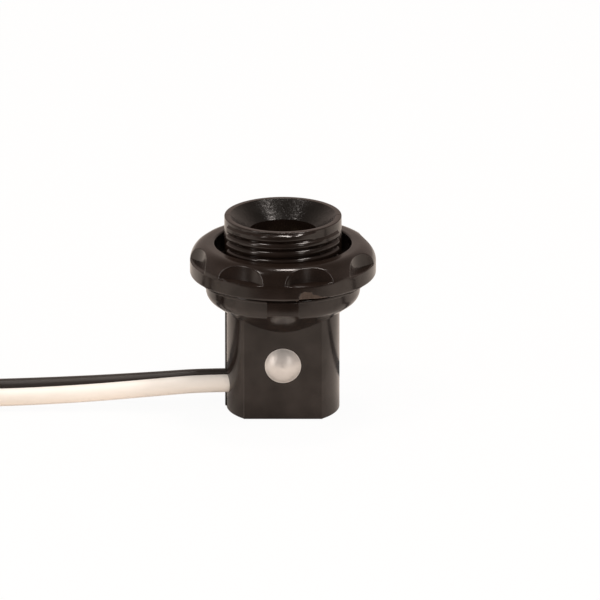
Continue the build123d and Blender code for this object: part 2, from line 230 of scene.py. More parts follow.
def strands(name, root):
    """Sixteen fine strands that lie in a long twist past the end of the insulation."""
    bundle = bpy.data.curves.new(name, "CURVE")
    bundle.dimensions = "3D"
    for reach, count in strand_layers:
        for k in range(count):
            strand = bundle.splines.new("NURBS")
            strand.points.add(strand_steps)
            for step, control in enumerate(strand.points):
                out = (strand_length + strand_overlap) * step / strand_steps - strand_overlap
                angle = 2 * math.pi * (k / count + out / strand_twist)
                across, up = reach * math.cos(angle), reach * math.sin(angle)
                control.co = (root.x - out, root.y + across, root.z + up, 1)
            strand.order_u = 3
            strand.use_endpoint_u = True
    bundle.resolution_u = 3
    bundle.bevel_depth = strand_radius
    bundle.bevel_resolution = 1
    bundle.use_fill_caps = True
    piece = bpy.data.objects.new(name, bundle)
    bpy.context.scene.collection.objects.link(piece)
    return piece


def tie_band(name, route):
    """A closed plastic band, drawn snug round the two runs of a hank that lie one on the other."""
    x, y, z = route[-1]
    band = bmesh.new()
    bmesh.ops.create_cube(band, size=1.0)
    snug = lead_radius + tie_clearance + tie_thickness
    bmesh.ops.scale(band, verts=band.verts, vec=(tie_width, 2 * snug, hank_rise + 2 * snug))
    ends = [f for f in band.faces if abs(f.normal.x) > 0.9]
    bmesh.ops.delete(band, geom=ends, context="FACES_ONLY")
    long_edges = [e for e in band.edges if abs(e.verts[0].co.x - e.verts[1].co.x) > mm]
    bmesh.ops.bevel(band, geom=long_edges, offset=snug * tie_corner_share, segments=8,
                    profile=0.5, affect="EDGES", material=-1)
    bmesh.ops.translate(band, verts=band.verts, vec=(x - hank_run / 2, y, z + hank_rise / 2))
    mesh = bpy.data.meshes.new(name)
    band.to_mesh(mesh)
    band.free()
    mesh.shade_smooth()
    piece = bpy.data.objects.new(name, mesh)
    bpy.context.scene.collection.objects.link(piece)
    wall = piece.modifiers.new("wall", "SOLIDIFY")
    wall.thickness = tie_thickness
    edge = piece.modifiers.new("soft edges", "BEVEL")
    edge.width = tie_edge_round
    edge.segments = 2
    return piece


# Extruded PVC is satin: the white is a warm milky white and the black has a brown cast. The
# moulded nylon of the ties is duller. Tinned strand is grey, with fine drawing marks 0.2 mm apart.
white_pvc = pvc("white soft PVC, extruded", "#f6f2ec", "#efe9e1", 0.42)
black_pvc = pvc("black soft PVC, extruded", "#221d1a", "#2c2622", 0.38)
tie_plastic = pvc("black nylon tie, moulded", "#151515", "#1c1c1c", 0.5)
tinned_copper = bare_metal("tinned copper strand, drawn", "#b9b7b2", "#a5a29b", 0.36,
                           5.2 / mm, 0.2)
for colour, route, side, skin in (
    ("white", white_route, -1, white_pvc), ("black", black_route, 1, black_pvc),
):
    lead = smooth_line(f"{colour}_lead_jacket", lead_points(route, side), lead_radius)
    lead.data.materials.append(skin)
    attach(lead, "socket")
    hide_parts(f"{colour}_lead", f"{colour}_lead_hank")
    tail_end = lead_points(route, side)[-1]
    bare = strands(f"{colour}_bare_strands", tail_end)
    tie = tie_band(f"{colour}_hank_band", route)
    for piece, finish, node, skin in (
        (bare, "tinned_copper", f"{colour}_bare_end", tinned_copper),
        (tie, "tie_plastic", f"{colour}_hank_tie", tie_plastic),
    ):
        piece.data.materials.append(skin)
        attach(piece, "socket")
        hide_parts(node)
    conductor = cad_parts[f"{colour}_conductor"]
    conductor.material_slots[0].material = tinned_copper

# Housing: two halves of black phenolic, compression moulded in polished steel, which meet at
# a fine line down each side. The hood, flange and threaded collar are turned forms; the
# barrel below is round with a front and a back flat.
flat_distance = 8.5 * mm
barrel_corner_round = 0.6 * mm
barrel_edge_round = 0.2 * mm
barrel_sides = 192
mould_mismatch = 0.3 * mm
hood_bottom_z = 18.8 * mm
hood_slope = math.radians(37.0)
hood_radius = 15.8 * mm
hood_shoulder = 2.6 * mm
flange_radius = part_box("front_housing")[1].x
flange_top_z = 28.4 * mm
flange_thickness = 0.7 * mm
flange_edge_round = 0.2 * mm
collar_radius = 12.0 * mm
body_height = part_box("front_housing")[1].z
mouth_radius = 10.8 * mm
mouth_edge_round = 0.2 * mm
funnel_depth = 3.3 * mm
bore_radius = 7.0 * mm
rim_groove = (7.8 * mm, 34.3 * mm, 34.85 * mm)  # radius, bottom and top
shell_room_radius = 6.75 * mm
disc_seat = (7.7 * mm, 20.0 * mm, 21.3 * mm)  # radius, bottom and top
shelf_hole_radius = 6.4 * mm
cap_bottom_z = 17.6 * mm
thread_pitch = 1.7 * mm
thread_height = 0.55 * mm
thread_top_z = 40.2 * mm
thread_turns = 5.86
thread_row = 0.085 * mm
thread_start, thread_finish = 6, 9  # it grows over 1/6 turn and dies away over 1/9
crest_flatness = 3
strip_angle = math.radians(20.0)
strip_fade = math.radians(3.0)
last_flank = 2.7
parting_round = 0.1 * mm
joint_turn = 0.6  # radians; the joint's flatter edges are left as they are
joint_corners = 50  # only the two joint faces have more corners than this
spin_steps = 144
barrel_wall = 1.9 * mm
chamber_floor_z = 1.8 * mm
shelf_bottom_z = 17.0 * mm
slot_length, slot_height = 7.8 * mm, 3.8 * mm
slot_round_share = 0.49
rivet_z = 11.6 * mm
rivet_hole_radius = 1.95 * mm
boss_radius = 2.9 * mm
pad_width = 6.6 * mm
pad_height = 0.35 * mm
pad_bottom_z = 20.3 * mm
pad_edge_round = 0.12 * mm
pad_root = 3 * mm  # how deep it is set in the hood
carving_weld = 0.002  # in mm, as all of the carving is
close_by = 1e-6

phenolic_cloud = 0.16 / mm  # 6 mm, the size of the flow patches of the moulding powder


def arc(r, z, radius, first_deg, last_deg, steps=5):
    """Points of a round corner in a half section."""
    span = last_deg - first_deg
    angles = [math.radians(first_deg + span * k / steps) for k in range(steps + 1)]
    return [(r + radius * math.cos(a), z + radius * math.sin(a)) for a in angles]


def rows(r, low, high, spacing):
    """Points up a straight wall, close enough together to be moved into a thread."""
    count = round((high - low) / spacing)
    return [(r, low + (high - low) * k / count) for k in range(1, count)]


def spun(outline, first, turn, steps, closed=True):
    """A solid from a half section of (radius, height) points, spun about the axis."""
    form = bmesh.new()
    points = [form.verts.new((r * math.cos(first), r * math.sin(first), z)) for r, z in outline]
    following = points[1:] + points[:1] if closed else points[1:]
    edges = [form.edges.new(pair) for pair in zip(points, following)]
    whole = turn > 2 * math.pi - 0.001
    made = bmesh.ops.spin(form, geom=points + edges, cent=(0, 0, 0), axis=(0, 0, 1), angle=turn,
                          steps=steps, use_merge=whole)
    if not whole:
        last = [e for e in made["geom_last"] if isinstance(e, bmesh.types.BMEdge)]
        bmesh.ops.edgeloop_fill(form, edges=edges)
        bmesh.ops.edgeloop_fill(form, edges=last)
    bmesh.ops.remove_doubles(form, verts=form.verts, dist=0.001 * mm)
    bmesh.ops.recalc_face_normals(form, faces=form.faces)
    return form


def smooth_step(value):
    """Rises from 0 to 1 with no corner as the value does."""
    value = min(1.0, max(0.0, value))
    return value * value * (3 - 2 * value)


def thread_rise(x, y, z):
    """How far the collar's thread stands out at a place on the collar."""
    angle = math.atan2(y, x) % (2 * math.pi)
    travel = (z - thread_top_z) / thread_pitch + thread_turns - angle / (2 * math.pi)
    turn = round(travel)
    along = turn + angle / (2 * math.pi)
    fade = smooth_step(thread_start * along) * smooth_step(thread_finish * (thread_turns - along))
    from_joint = min(abs(angle - k * math.pi) for k in range(3))
    fade *= smooth_step((from_joint - strip_angle) / strip_fade)
    across = abs(travel - turn) * 2
    if travel > turn and along > thread_turns - 1:
        return thread_height * fade * min(1.0, last_flank * (1 - across))
    return thread_height * fade * (1 - across ** crest_flatness)


def new_piece(name, form, materials, body, node, sharp_deg=32):
    """Turns a finished form into a piece that rides on a body and stands for a CAD node."""
    mesh = bpy.data.meshes.new(name)
    form.to_mesh(mesh)
    form.free()
    piece = bpy.data.objects.new(name, mesh)
    bpy.context.scene.collection.objects.link(piece)
    for material in materials:
        mesh.materials.append(material)
    mesh.shade_smooth()
    mesh.set_sharp_from_angle(angle=math.radians(sharp_deg))
    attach(piece, body)
    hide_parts(node)


def phenolic(name, dark, light, roughness, grain_scale, grain, grain_depth):
    """Black phenolic: a brown cast, a skin of orange peel or grain, and a patchy film on it."""
    material, tree, shader = new_material(name)
    place = add_node(tree, "ShaderNodeTexCoord")
    cloud = add_node(tree, "ShaderNodeTexNoise", {"Scale": phenolic_cloud, "Detail": 5.0},
                     {"Vector": place.outputs["Object"]})
    tint = add_node(tree, "ShaderNodeMix", {
        "data_type": "RGBA", 6: linear(dark), 7: linear(light),
    }, {"Factor": cloud.outputs["Fac"]})
    tree.links.new(tint.outputs[2], shader.inputs["Base Color"])
    peel = add_node(tree, "ShaderNodeTexNoise", {"Scale": grain_scale, "Detail": 3.0},
                    {"Vector": place.outputs["Object"]})
    bump = add_node(tree, "ShaderNodeBump", {"Strength": grain, "Distance": grain_depth},
                    {"Height": peel.outputs["Fac"]})
    tree.links.new(bump.outputs["Normal"], shader.inputs["Normal"])
    haze = add_node(tree, "ShaderNodeMapRange", {
        "From Min": 0.3, "From Max": 0.7,
        "To Min": roughness - 0.03, "To Max": roughness + 0.05,
    }, {"Value": cloud.outputs["Fac"]})
    tree.links.new(haze.outputs["Result"], shader.inputs["Roughness"])
    film = add_node(tree, "ShaderNodeMapRange", {
        "From Min": 0.35, "From Max": 0.65, "To Min": 0.38, "To Max": 0.58,
    }, {"Value": cloud.outputs["Fac"]})
    tree.links.new(film.outputs["Result"], shader.inputs["Specular IOR Level"])
    shader.inputs["IOR"].default_value = 1.45
    return material


# From a polished mould the phenolic is glossy, with an orange peel of 1.25 mm that wavers its
# reflections. The funnel's mould was blasted, which leaves a dull grain; that is drawn at
# 0.6 mm, coarser than the real grit, so that it shows.
gloss_phenolic = phenolic("black phenolic, polished mould", "#110e0b", "#281d18", 0.16,
                          0.8 / mm, 0.11, 0.05 * mm)
# Its grain and dullness are real, but its colours, darker than the polished phenolic's, are painted
# shade in the recessed funnel.
satin_phenolic_painted_shade = phenolic("black phenolic, blasted mould, painted shade", "#0c0a08", "#120f0c", 0.22,
                          1.6 / mm, 0.9, 0.065 * mm)


def cap_outline():
    """Half section of the hood, flange, collar and mouth, up the outside and down the inside."""
    slope = math.tan(hood_slope)
    shoulder_deg = math.degrees(hood_slope) - 90
    corner_z = hood_bottom_z + (hood_radius - flat_distance) * slope
    shoulder_z = corner_z + hood_shoulder * math.tan((math.pi / 2 - hood_slope) / 2)
    flange_bottom_z = flange_top_z - flange_thickness
    rim = flange_radius - flange_edge_round
    mouth_z = body_height - mouth_edge_round
    lip = mouth_edge_round / 2
    return [
        (shelf_hole_radius, cap_bottom_z),
        (flat_distance, hood_bottom_z),
        *arc(hood_radius - hood_shoulder, shoulder_z, hood_shoulder, shoulder_deg, 0, 14),
        (hood_radius, flange_bottom_z),
        *arc(rim, flange_bottom_z + flange_edge_round, flange_edge_round, -90, 0),
        *arc(rim, flange_top_z - flange_edge_round, flange_edge_round, 0, 90),
        (collar_radius, flange_top_z),
        *rows(collar_radius, flange_top_z, mouth_z, thread_row),
        *arc(collar_radius - mouth_edge_round, mouth_z, mouth_edge_round, 0, 90),
        *arc(mouth_radius + lip, body_height - lip, lip, 90, 135, 3),
        (bore_radius, body_height - funnel_depth),
        (bore_radius, rim_groove[2]),
        (rim_groove[0], rim_groove[2]),
        (rim_groove[0], rim_groove[1]),
        (shell_room_radius, rim_groove[1]),
        (shell_room_radius, disc_seat[2]),
        (disc_seat[0], disc_seat[2]),
        (disc_seat[0], disc_seat[1]),
        (shelf_hole_radius, disc_seat[1]),
    ]


def cap_half(first):
    """One half of the turned upper body, with its run of thread and its softened joint edges."""
    form = spun(cap_outline(), first, math.pi, spin_steps)
    on_collar = [v for v in form.verts if v.co.z > flange_top_z + thread_row / 2]
    for vertex in on_collar:
        x, y, z = vertex.co
        if math.hypot(x, y) > collar_radius - 0.01 * mm:
            reach = 1 + thread_rise(x, y, z) / collar_radius
            vertex.co = (x * reach, y * reach, z)
    ends = [f for f in form.faces if len(f.verts) > joint_corners]
    edges = list({e for f in ends for e in f.edges if e.calc_face_angle(0) > joint_turn})
    bmesh.ops.bevel(form, geom=edges, offset=parting_round, offset_type="OFFSET", segments=2,
                    profile=0.5, affect="EDGES", material=-1, clamp_overlap=True)
    # The funnel's faces take the second material: blasted grain with painted shade.
    for face in form.faces:
        centre = face.calc_center_median()
        inside = math.hypot(centre.x, centre.y) < mouth_radius
        face.material_index = 1 if inside and centre.z > body_height - funnel_depth else 0
    return form


def flattened(radius, flat, side, bottom, top):
    """Half of an upright cylinder with a flat: side -1 is the front half."""
    form = bmesh.new()
    bmesh.ops.create_circle(form, cap_ends=True, radius=radius, segments=barrel_sides)
    for reach, keep in ((side * flat, side), (0, -side)):
        geometry = form.verts[:] + form.edges[:] + form.faces[:]
        bmesh.ops.bisect_plane(form, geom=geometry, dist=1e-7, plane_co=(0, reach, 0),
                               plane_no=(0, keep, 0), clear_outer=True)
    made = bmesh.ops.extrude_face_region(form, geom=form.faces[:])
    raised = [v for v in made["geom"] if isinstance(v, bmesh.types.BMVert)]
    bmesh.ops.translate(form, verts=raised, vec=(0, 0, top - bottom))
    bmesh.ops.translate(form, verts=form.verts, vec=(0, 0, bottom))
    bmesh.ops.recalc_face_normals(form, faces=form.faces)
    return form


def barrel_half(side, shift):
    """One half of the barrel: round, with a flat and rounded corners, side -1 at the front."""
    top_z = hood_bottom_z + (barrel_radius - flat_distance) * math.tan(hood_slope)
    form = flattened(barrel_radius, flat_distance, side, 0.0, top_z)
    upright = [e for e in form.edges if abs(e.verts[0].co.z - e.verts[1].co.z) > mm]
    for at_y, offset, segments in (
        (side * flat_distance, barrel_corner_round, 5), (0.0, parting_round, 2),
    ):
        corners = [e for e in upright if e.is_valid and abs(e.verts[0].co.y - at_y) < close_by]
        bmesh.ops.bevel(form, geom=corners, offset=offset, segments=segments, profile=0.5,
                        affect="EDGES", material=-1)
    low = [e for e in form.edges if max(v.co.z for v in e.verts) < close_by]
    low = [e for e in low if max(abs(v.co.y) for v in e.verts) > close_by]
    bmesh.ops.bevel(form, geom=low, offset=barrel_edge_round, segments=4, profile=0.5,
                    affect="EDGES", material=-1)
    bmesh.ops.translate(form, verts=form.verts, vec=(shift, 0, 0))
    return form


def carved(form, cutters):
    """The form with the cutters' shapes taken out of it, worked in mm to keep it exact."""
    solids = []
    for shape in [form] + cutters:
        bmesh.ops.scale(shape, verts=shape.verts, vec=(1 / mm, 1 / mm, 1 / mm))
        mesh = bpy.data.meshes.new("solid")
        shape.to_mesh(mesh)
        shape.free()
        solids.append(bpy.data.objects.new("solid", mesh))
        bpy.context.scene.collection.objects.link(solids[-1])
    for cutter in solids[1:]:
        cut = solids[0].modifiers.new("cut", "BOOLEAN")
        cut.operation = "DIFFERENCE"
        cut.solver = "EXACT"
        cut.object = cutter
    bpy.context.view_layer.update()
    left = bmesh.new()
    left.from_object(solids[0], bpy.context.evaluated_depsgraph_get())
    for solid in solids:
        bpy.data.objects.remove(solid)
    bmesh.ops.remove_doubles(left, verts=left.verts, dist=carving_weld)
    bmesh.ops.scale(left, verts=left.verts, vec=(mm, mm, mm))
    return left


def hollows(side):
    """Cutters for one barrel half: chamber, shelf hole and seats, lead slot and rivet hole."""
    chamber = flattened(barrel_radius - barrel_wall, flat_distance - barrel_wall, side,
                        chamber_floor_z, shelf_bottom_z)
    seats = spun([
        (0, shelf_bottom_z - mm),
        (shelf_hole_radius, shelf_bottom_z - mm),
        (shelf_hole_radius, disc_seat[1]),
        (disc_seat[0], disc_seat[1]),
        (disc_seat[0], disc_seat[2]),
        (shell_room_radius, disc_seat[2]),
        (shell_room_radius, disc_seat[2] + mm),
        (0, disc_seat[2] + mm),
    ], 0.0, 2 * math.pi, 96, closed=False)
    slot = bmesh.new()
    bmesh.ops.create_cube(slot, size=1.0)
    bmesh.ops.scale(slot, verts=slot.verts, vec=(barrel_radius, slot_length, slot_height))
    long_edges = [e for e in slot.edges if abs(e.verts[0].co.x - e.verts[1].co.x) > mm]
    bmesh.ops.bevel(slot, geom=long_edges, offset=slot_height * slot_round_share, segments=8,
                    profile=0.5, affect="EDGES", material=-1)
    bmesh.ops.translate(slot, verts=slot.verts, vec=(-barrel_radius, 0, lead_exit_z))
    hole = bmesh.new()
    bmesh.ops.create_cone(hole, cap_ends=True, segments=48, radius1=rivet_hole_radius,
                          radius2=rivet_hole_radius, depth=3 * flat_distance)
    bmesh.ops.rotate(hole, verts=hole.verts, matrix=Matrix.Rotation(math.pi / 2, 3, "X"))
    bmesh.ops.translate(hole, verts=hole.verts, vec=(0, 0, rivet_z))
    return [chamber, seats, slot, hole]


def boss(side):
    """The tube inside one half that the rivet passes through, from the joint to the wall."""
    length = flat_distance - barrel_wall / 2
    outline = [
        (rivet_hole_radius, 0), (rivet_hole_radius, length), (boss_radius, length),
        (boss_radius, 0),
    ]
    form = spun(outline, 0.0, 2 * math.pi, 48)
    bmesh.ops.rotate(form, verts=form.verts, matrix=Matrix.Rotation(-side * math.pi / 2, 3, "X"))
    bmesh.ops.translate(form, verts=form.verts, vec=(0, 0, rivet_z))
    return form


def raised_pad():
    """The plain raised rectangle on the front of the hood, up to the flange."""
    slope = math.tan(hood_slope)
    face_y = flange_radius + pad_height
    kink_z = hood_bottom_z - pad_height + (face_y - flat_distance) * slope
    low_y = flat_distance + (pad_bottom_z - hood_bottom_z + pad_height) / slope
    form = bmesh.new()
    top_z = flange_top_z - flange_edge_round
    side_view = [
        (low_y - pad_root, pad_bottom_z), (low_y, pad_bottom_z), (face_y, kink_z),
        (face_y, top_z), (low_y - pad_root, top_z),
    ]
    face = form.faces.new([form.verts.new((-pad_width / 2, -y, z)) for y, z in side_view])
    made = bmesh.ops.extrude_face_region(form, geom=[face])
    moved = [v for v in made["geom"] if isinstance(v, bmesh.types.BMVert)]
    bmesh.ops.translate(form, verts=moved, vec=(pad_width, 0, 0))
    bmesh.ops.recalc_face_normals(form, faces=form.faces)
    edges = [e for e in form.edges if min(-v.co.y for v in e.verts) > low_y - 2 * mm]
    bmesh.ops.bevel(form, geom=edges, offset=pad_edge_round, segments=3, profile=0.5,
                    affect="EDGES", material=-1)
    return form


def joined(first, second):
    """Both forms as one."""
    mesh = bpy.data.meshes.new("joined")
    second.to_mesh(mesh)
    second.free()
    first.from_mesh(mesh)
    return first


for name, side, shift, first in (
    ("front", -1, 0.0, math.pi), ("back", 1, -mould_mismatch, 0.0),
):
    barrel = joined(carved(barrel_half(side, shift), hollows(side)), boss(side))
    form = joined(cap_half(first), barrel)
    if side < 0:
        form = joined(form, raised_pad())
    new_piece(f"{name}_housing_moulding", form, [gloss_phenolic, satin_phenolic_painted_shade], "socket",
              f"{name}_housing")

# Shade ring: one phenolic moulding that screws down the collar and clamps a shade on it.
# Its rim is rounded over and scooped eight times for the fingers; a flake is broken off its
# lower edge at the front, where the dull brown inside of the moulding shows.
ring_low, ring_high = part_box("shade_ring")
ring_bottom, ring_top, ring_radius = ring_low.z, ring_high.z, ring_high.x
ring_land_radius = 12.75 * mm
ring_land_height = 2.5 * mm
ring_hole_radius = 14.0 * mm
ring_hole_round = 0.4 * mm
ring_crest_radius = 15.5 * mm
ring_shoulder_height = 4.0 * mm
ring_shoulder_steps = 44
ring_bottom_round = 0.5 * mm
pocket_count = 8
pocket_first = math.radians(17.0)
pocket_scoop_radius = 12.3 * mm
pocket_depth = 2.2 * mm
pocket_draft = math.tan(math.radians(7.0))
pocket_floor_z = ring_bottom + 3.2 * mm
pocket_floor_rise = 0.22 * mm
pocket_edge_round = 0.16 * mm
chip_angle = math.radians(16.5)
chip_edge = (  # its outline: mm round the rim from its middle, and mm above the ring's bottom
    (-2.2, 0.0), (-2.1, 0.9), (-1.7, 1.7), (-0.9, 2.0), (0.1, 1.75), (0.5, 1.85), (0.8, 1.2),
    (1.6, 1.05), (2.6, 0.55), (3.8, 0.35), (5.0, 0.0),
)
chip_reach = 2.5 * mm
chip_least = 0.16 * mm
chip_slope = 0.3
chip_raggedness = 0.9
chip_lumps, chip_crumbs = 0.9 / mm, 2.6 / mm  # lumps of 1.1 mm and crumbs of 0.4 mm
scar_least = 0.02 * mm
ring_row = 0.12 * mm
ring_top_row = 0.07 * mm
ring_columns = 620


def ring_outline():
    """Half section of the ring before it is scooped."""
    reach = ring_radius - ring_crest_radius
    steps = ring_shoulder_steps
    quarter = [math.pi / 2 * (1 - k / steps) for k in range(steps + 1)]
    side_top = ring_top - ring_shoulder_height
    shoulder = [
        (ring_crest_radius + reach * math.cos(a),
         ring_top - ring_shoulder_height * (1 - math.sin(a)))
        for a in quarter
    ]
    low = ring_bottom + ring_bottom_round
    edge = arc(ring_radius - ring_bottom_round, low, ring_bottom_round, 0, -90, 6)
    hole_edge = ring_hole_radius + ring_hole_round
    return [
        (ring_land_radius, ring_bottom),
        (ring_land_radius, ring_bottom + ring_land_height),
        (ring_hole_radius, ring_bottom + ring_land_height),
        *arc(hole_edge, ring_top - ring_hole_round, ring_hole_round, 180, 90, 6),
        *[(hole_edge + ring_top_row * k, ring_top) for k in range(1, 10)],
        *shoulder,
        *reversed(rows(ring_radius, low, side_top, ring_row / 2)),
        *edge,
        (ring_radius - 2 * ring_bottom_round, ring_bottom),
        (ring_radius - 4 * ring_bottom_round, ring_bottom),
    ]


def soft_least(a, b, width):
    """The lesser of two sizes, with the corner between them rounded."""
    share = min(1.0, max(0.0, 0.5 + 0.5 * (b - a) / width))
    return b + (a - b) * share - width * share * (1 - share)


def scooped(radius, angle, z):
    """The radius that is left at a place on the rim once the nearest pocket is scooped out."""
    pitch = 2 * math.pi / pocket_count
    off = (angle - pocket_first + pitch / 2) % pitch - pitch / 2
    centre = ring_radius - pocket_depth + pocket_scoop_radius
    chord = math.sqrt(pocket_scoop_radius ** 2 - (centre * math.sin(off)) ** 2)
    wall = centre * math.cos(off) - chord + (ring_top - z) * pocket_draft
    share = smooth_step((z - pocket_floor_z) / pocket_floor_rise + 0.5)
    return radius + share * (soft_least(radius, wall, pocket_edge_round) - radius)


def chipped(radius, angle, z, place):
    """How far the flake's scar cuts in at a place, and nothing away from it."""
    off = (angle - chip_angle + math.pi) % (2 * math.pi) - math.pi
    across = off * ring_radius / mm
    for (left, low), (right, high) in zip(chip_edge, chip_edge[1:]):
        if left <= across < right and radius > ring_radius - chip_reach:
            height = (low + (high - low) * (across - left) / (right - left)) * mm
            below = ring_bottom + height - z
            ragged = noise.noise(place * chip_lumps) * 0.5 + noise.noise(place * chip_crumbs) * 0.25
            depth = chip_least + chip_slope * below * (1 + chip_raggedness * ragged)
            return max(0.0, depth) if below > 0 else 0.0
    return 0.0


# Broken phenolic shows its wood-flour filler: dull, brown and granular. Its grains are drawn
# 0.7 mm apart, coarser than the real ones, so that they show.
fracture = phenolic("black phenolic, broken face", "#3a2e28", "#57493f", 0.55,
                    1.5 / mm, 1.0, 0.3 * mm)
form = spun(ring_outline(), 0.0, 2 * math.pi, ring_columns)
scar = set()
for vertex in form.verts:
    x, y, z = vertex.co
    radius, angle = math.hypot(x, y), math.atan2(x, -y)
    if radius > ring_hole_radius + ring_hole_round / 2:
        left = scooped(radius, angle, z)
        cut = chipped(left, angle, z, vertex.co)
        if cut > scar_least:
            scar.add(vertex)
        left -= cut
        vertex.co = (x * left / radius, y * left / radius, z)
for face in form.faces:
    face.material_index = 1 if all(v in scar for v in face.verts) else 0
new_piece("shade_ring_moulding", form, [gloss_phenolic, fracture], "ring", "shade_ring",
          50)

# Rivet: one soft aluminium semi-tubular rivet holds the two halves together. Its domed head
# is at the front; at the back its tubular end is rolled outwards on the flat.
rivet_head_radius = 3.7 * mm
rivet_head_height = 1.85 * mm
rivet_pip = (0.4 * mm, 0.05 * mm)  # radius and height of the nub on the dome
rivet_rim_round = 0.22 * mm
rivet_rim_inset = 0.1 * mm
rivet_dome_steps = 16
rivet_shank_radius = 1.9 * mm
rivet_tail_radius = 3.0 * mm
rivet_tail_height = 1.1 * mm
rivet_bore_radius = 1.15 * mm
rivet_roll = 0.3 * mm

dome_radius = (rivet_head_radius ** 2 + rivet_head_height ** 2) / (2 * rivet_head_height)
dome_centre = rivet_head_height - dome_radius
dome_reach = rivet_head_radius - rivet_rim_inset - rivet_pip[0]
dome_steps = [
    rivet_pip[0] + dome_reach * k / rivet_dome_steps for k in range(rivet_dome_steps + 1)
]
dome = [(r, dome_centre + math.sqrt(dome_radius ** 2 - r ** 2)) for r in dome_steps]
tail_z = -2 * flat_distance
roll_radius = (rivet_tail_radius - rivet_bore_radius) / 2
roll = arc(rivet_tail_radius - roll_radius, tail_z, roll_radius, 0, -180, 10)
rivet_form = spun([
    (0, rivet_head_height + rivet_pip[1]),
    (rivet_pip[0] * 0.6, rivet_head_height + rivet_pip[1] * 0.8),
    *dome,
    (rivet_head_radius, rivet_rim_round / 2),
    (rivet_head_radius - rivet_rim_round / 2, 0),
    (rivet_shank_radius, 0),
    (rivet_shank_radius, tail_z),
    (rivet_tail_radius - rivet_roll, tail_z),
    *[(r, z - rivet_roll) for r, z in roll if z > tail_z - rivet_tail_height + rivet_roll],
    (rivet_bore_radius, tail_z + mm),
    (0, tail_z + 1.3 * mm),
], 0.0, 2 * math.pi, 64, closed=False)
upright_to_front = Matrix.Rotation(math.pi / 2, 3, "X")
bmesh.ops.rotate(rivet_form, verts=rivet_form.verts, matrix=upright_to_front)
bmesh.ops.translate(rivet_form, verts=rivet_form.verts, vec=(0, -flat_distance, rivet_z))

# Tumbling leaves a pale satin skin with dents 0.7 mm apart; it is dulled by its oxide, so it
# mirrors the room less than bare aluminium would.
satin_aluminium = bare_metal("aluminium rivet, tumbled satin", "#ebe8e5", "#d0ccc8", 0.38,
                             1.5 / mm, 1.0)
satin_shader = satin_aluminium.node_tree.nodes["Principled BSDF"]
satin_shader.inputs["Metallic"].default_value = 0.45
new_piece("housing_rivet_formed", rivet_form, [satin_aluminium], "socket", "housing_rivet")

# Screw shell and contacts: rolled brass shell, riveted on a fibre disc with two brass rivets,
# and the bronze leaf that the bulb's tip presses, held by a third. Two brass terminals hang
# from the same rivets and are crimped on the leads' strands.

# The shell's brass is painted a dull dark brown, which is painted shade for the deep bore
# that it lines; its rolling marks are 0.6 mm apart. The brass and bronze of the hidden parts
# stay bright, with finer marks 0.3 to 0.4 mm apart from the stamping and heading tools.
shell_brass_painted_shade = bare_metal("brass sheet, rolled, with painted shade", "#756951", "#5b5040", 0.4,
                          1.8 / mm, 0.12)
stamped_brass = bare_metal("brass strip, stamped", "#c4a160", "#ab8a4e", 0.34, 3.6 / mm, 0.25)
turned_brass = bare_metal("brass rivet wire, headed", "#cfae68", "#bb9853", 0.3, 3.0 / mm, 0.2)
spring_bronze = bare_metal("spring bronze strip, tempered", "#b98a5e", "#9d7350", 0.28,
                           2.8 / mm, 0.15)
# The screw shell takes the brass with the painted shade of the bore; the rest stay bright.
for node, metal in (
    ("screw_shell", shell_brass_painted_shade), ("centre_contact", spring_bronze),
    ("contact_rivet", turned_brass), ("shell_rivets", turned_brass),
    ("shell_terminal", stamped_brass), ("centre_terminal", stamped_brass),
):
    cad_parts[node].material_slots[0].material = metal

# Vulcanised fibre gives a dull red-brown face, mottled every 1.4 mm by its pressed paper layers.
fibre_mottle = 0.7 / mm
fibre_felt_depth = 0.05 * mm
red_fibre, tree, shader = new_material("vulcanised fibre, punched")
place = add_node(tree, "ShaderNodeTexCoord")
mottle = add_node(tree, "ShaderNodeTexNoise", {
    "Scale": fibre_mottle, "Detail": 6.0, "Roughness": 0.7,
}, {"Vector": place.outputs["Object"]})
tint = add_node(tree, "ShaderNodeMix", {
    "data_type": "RGBA", 6: linear("#6b3528"), 7: linear("#8a4a38"),
}, {"Factor": mottle.outputs["Fac"]})
tree.links.new(tint.outputs[2], shader.inputs["Base Color"])
felt = add_node(tree, "ShaderNodeBump", {"Strength": 0.4, "Distance": fibre_felt_depth},
                {"Height": mottle.outputs["Fac"]})
tree.links.new(felt.outputs["Normal"], shader.inputs["Normal"])
shader.inputs["Roughness"].default_value = 0.72
shader.inputs["IOR"].default_value = 1.5
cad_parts["insulating_disc"].material_slots[0].material = red_fibre

# Studio: the socket stands on a sheet of pale paper. In front the sheet fades to a dark bench,
# and behind it a dark strip of painted shade, standing for a gap whose two sides slant forward,
# parts it from a pale table. Only light and reflections meet these: the camera sees even white
# paper, faintly shaded.
paper_front = 88 * mm
paper_fade = 8 * mm
paper_back = 26 * mm
shade_strip_half_width = 5 * mm
gap_slant = 0.22
floor_half_width = 1.5
bench_colour, paper_colour = linear("#3b3835"), linear("#efe4da")
table_colour, shade_strip_colour = linear("#e0d5cb"), linear("#1c1a19")
camera_white_share = 0.95
gloss_white_share = 0.1
bench = bmesh.new()
bmesh.ops.create_grid(bench, x_segments=2, y_segments=2, size=floor_half_width)
bench_mesh = bpy.data.meshes.new("bench")
bench.to_mesh(bench_mesh)
bench.free()
floor = bpy.data.objects.new("bench", bench_mesh)
bpy.context.scene.collection.objects.link(floor)
paper, tree, shader = new_material("pale paper on a dark bench")
place = add_node(tree, "ShaderNodeTexCoord")
apart = add_node(tree, "ShaderNodeSeparateXYZ", {}, {"Vector": place.outputs["Object"]})
on_paper = add_node(tree, "ShaderNodeMapRange", {
    "interpolation_type": "SMOOTHSTEP",
    "From Min": -paper_front - paper_fade, "From Max": -paper_front + paper_fade,
}, {"Value": apart.outputs["Y"]})
